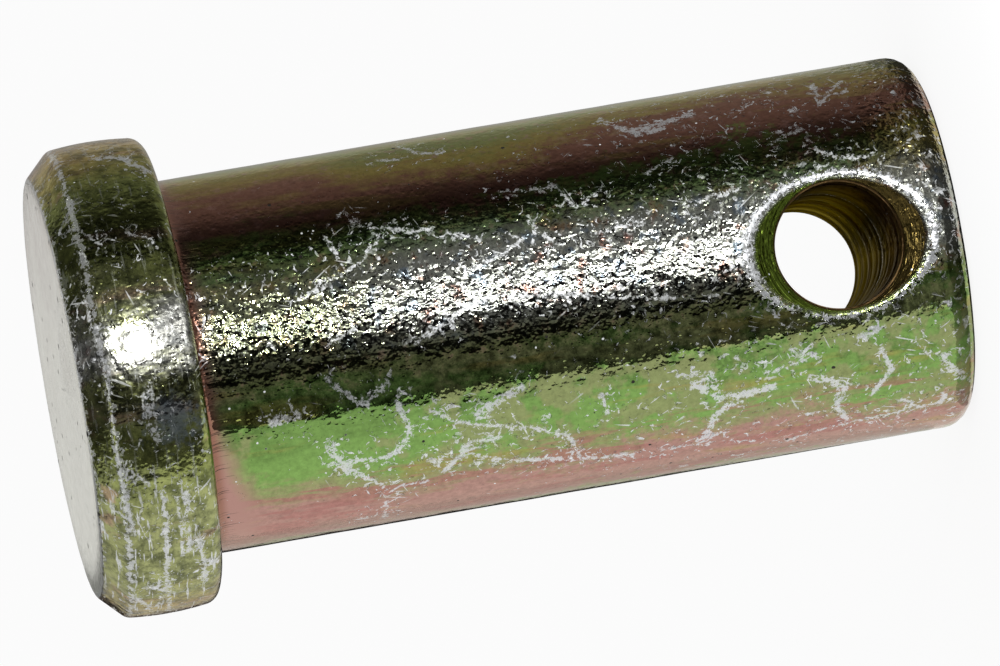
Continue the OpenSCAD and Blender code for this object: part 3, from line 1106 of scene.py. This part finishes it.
def reflected_board(material, turns, section, centre):
    """A curved board round the pin, seen only in the metal, like a studio's dark cloth or grey card.

    Turns are from the camera's side towards +X, in degrees; the section is pairs of distance and height, in
    millimetres."""
    centre, across = Vector(centre), Vector(around(turns[0], 1.0, 0.0))
    board = drawn_line([(centre + across * out + Vector((0, 0, up))) * MM for out, up in section])
    board.name = material.name
    bpy.ops.mesh.spin(steps=BOARD_STEPS, angle=math.radians(turns[0] - turns[1]), center=centre * MM,
                      axis=(0, 0, 1))
    bpy.ops.object.mode_set(mode="OBJECT")
    bpy.ops.object.shade_smooth()
    board.data.materials.append(material)
    show_only_in_metal(board)


def shaded_boards(name, greys, sections, centre):
    """Boards that share greys, from the first turn of these to the last."""
    material = shaded_greys(name, greys, centre)
    for section in sections:
        reflected_board(material, (greys[0][0], greys[-1][0]), section, centre)


def reflected_ceiling(name, grey):
    """A round dim board over the pin, seen only in the metal."""
    deselect_all()
    bpy.ops.mesh.primitive_circle_add(vertices=CEILING_CORNERS, radius=CEILING_RADIUS * MM, fill_type="NGON",
                                      location=Vector(CEILING_PLACE) * MM)
    board = bpy.context.active_object
    board.name = name
    board.data.materials.append(plain_material(name, grey))
    show_only_in_metal(board)


def show_only_in_metal(obj):
    """Keeps a studio board out of the camera's sight and of the light on the floor."""
    obj.visible_camera = obj.visible_diffuse = obj.visible_shadow = obj.visible_transmission = False


def area_lamp(name, place, aim, size, power):
    """An oblong lamp, turned to an aim point; places and size in millimetres."""
    deselect_all()
    bpy.ops.object.light_add(type="AREA", location=Vector(place) * MM)
    lamp = bpy.context.active_object
    lamp.name = name
    lamp.data.shape = "RECTANGLE"
    lamp.data.size, lamp.data.size_y = size[0] * MM, size[1] * MM
    lamp.data.energy = power
    lamp.visible_camera = False
    lamp.rotation_mode = "QUATERNION"
    lamp.rotation_quaternion = (Vector(aim) - Vector(place)).to_track_quat("-Z", "Y")


class CLEVIS_OT_studio(bpy.types.Operator):
    """Sets up the white floor, the boards that the metal mirrors, the lamps and the camera"""

    bl_idname = "clevis.studio"
    bl_label = "Studio"

    def execute(self, context):
        settings = context.scene.studio_settings
        deselect_all()
        bpy.ops.mesh.primitive_plane_add(size=FLOOR_SIZE)
        floor = context.active_object
        floor.name = "floor"
        floor.data.materials.append(white_floor(settings))

        shaded_boards("dim_room", ROOM_GREYS, (SCREEN_SECTION,), SCREEN_CENTRE)
        shaded_boards("dark_edge", EDGE_GREYS, (SCREEN_SECTION,), SCREEN_CENTRE)
        for name, grey, turns, section in (
                ("grey_mat", settings.mat_grey, GREY_TURNS, GREY_MAT_SECTION),
                ("pale_mat", settings.mat_grey * PALE_MAT_SHARE, PALE_TURNS, PALE_MAT_SECTION),
                ("white_card", settings.card_grey, CARD_TURNS, CARD_SECTION)):
            reflected_board(plain_material(name, grey), turns, section, FOOT_CENTRE)
        shaded_boards("foot_mat", FOOT_GREYS, (FOOT_MAT_SECTION, DARK_MAT_SECTION), FOOT_CENTRE)
        reflected_ceiling("dim_ceiling", settings.ceiling_grey)
        for name, (turn, distance, height), size, share in LAMPS:
            area_lamp(name, around(turn, distance, height), (0, 0, height), size, settings.key_power * share)

        world = bpy.data.worlds.new("studio")
        context.scene.world = world
        world.use_nodes = True
        sky = world.node_tree.nodes["Background"]
        sky.inputs["Color"].default_value = (1, 1, 1, 1)
        sky.inputs["Strength"].default_value = settings.sky_strength

        place, aim = Vector(CAMERA_PLACE) * MM, Vector(CAMERA_AIM) * MM
        bpy.ops.object.camera_add(location=place)
        camera = context.active_object
        camera.name = "photo_camera"
        camera.data.lens = CAMERA_LENS
        camera.data.sensor_width = SENSOR_WIDTH
        camera.data.clip_start, camera.data.clip_end = CAMERA_CLIP
        level = (aim - place).to_track_quat("-Z", "Y").to_matrix().to_4x4()
        roll = Matrix.Rotation(math.radians(CAMERA_ROLL), 4, "Z")
        camera.matrix_world = Matrix.Translation(place) @ level @ roll
        context.scene.camera = camera
        context.scene.view_settings.view_transform = "Standard"
        return {"FINISHED"}


class CLEVIS_PT_panel(bpy.types.Panel):
    """Lists the pin's builders and settings in the sidebar"""

    bl_idname = "CLEVIS_PT_panel"
    bl_label = "Clevis pin"
    bl_space_type = "VIEW_3D"
    bl_region_type = "UI"
    bl_category = "Clevis pin"

    def draw(self, context):
        layout = self.layout
        for builder in (CLEVIS_OT_plated_pin, CLEVIS_OT_studio):
            layout.operator(builder.bl_idname)
        for name in GROUPS:
            group = getattr(context.scene, name)
            column = layout.column()
            for key in group.bl_rna.properties.keys():
                if key not in ("rna_type", "name"):
                    column.prop(group, key)


GROUPS = {"pin_sizes": PinSizes, "plating_look": PlatingLook, "studio_settings": StudioSettings}
CLASSES = (*GROUPS.values(), CLEVIS_OT_plated_pin, CLEVIS_OT_studio, CLEVIS_PT_panel)


def register():
    for kind in CLASSES:
        bpy.utils.register_class(kind)
    for name, group in GROUPS.items():
        setattr(bpy.types.Scene, name, PointerProperty(type=group))


def unregister():
    for name in GROUPS:
        delattr(bpy.types.Scene, name)
    for kind in reversed(CLASSES):
        bpy.utils.unregister_class(kind)


def main():
    register()
    bpy.ops.clevis.plated_pin()
    bpy.ops.clevis.studio()


if __name__ == "__main__":
    main()
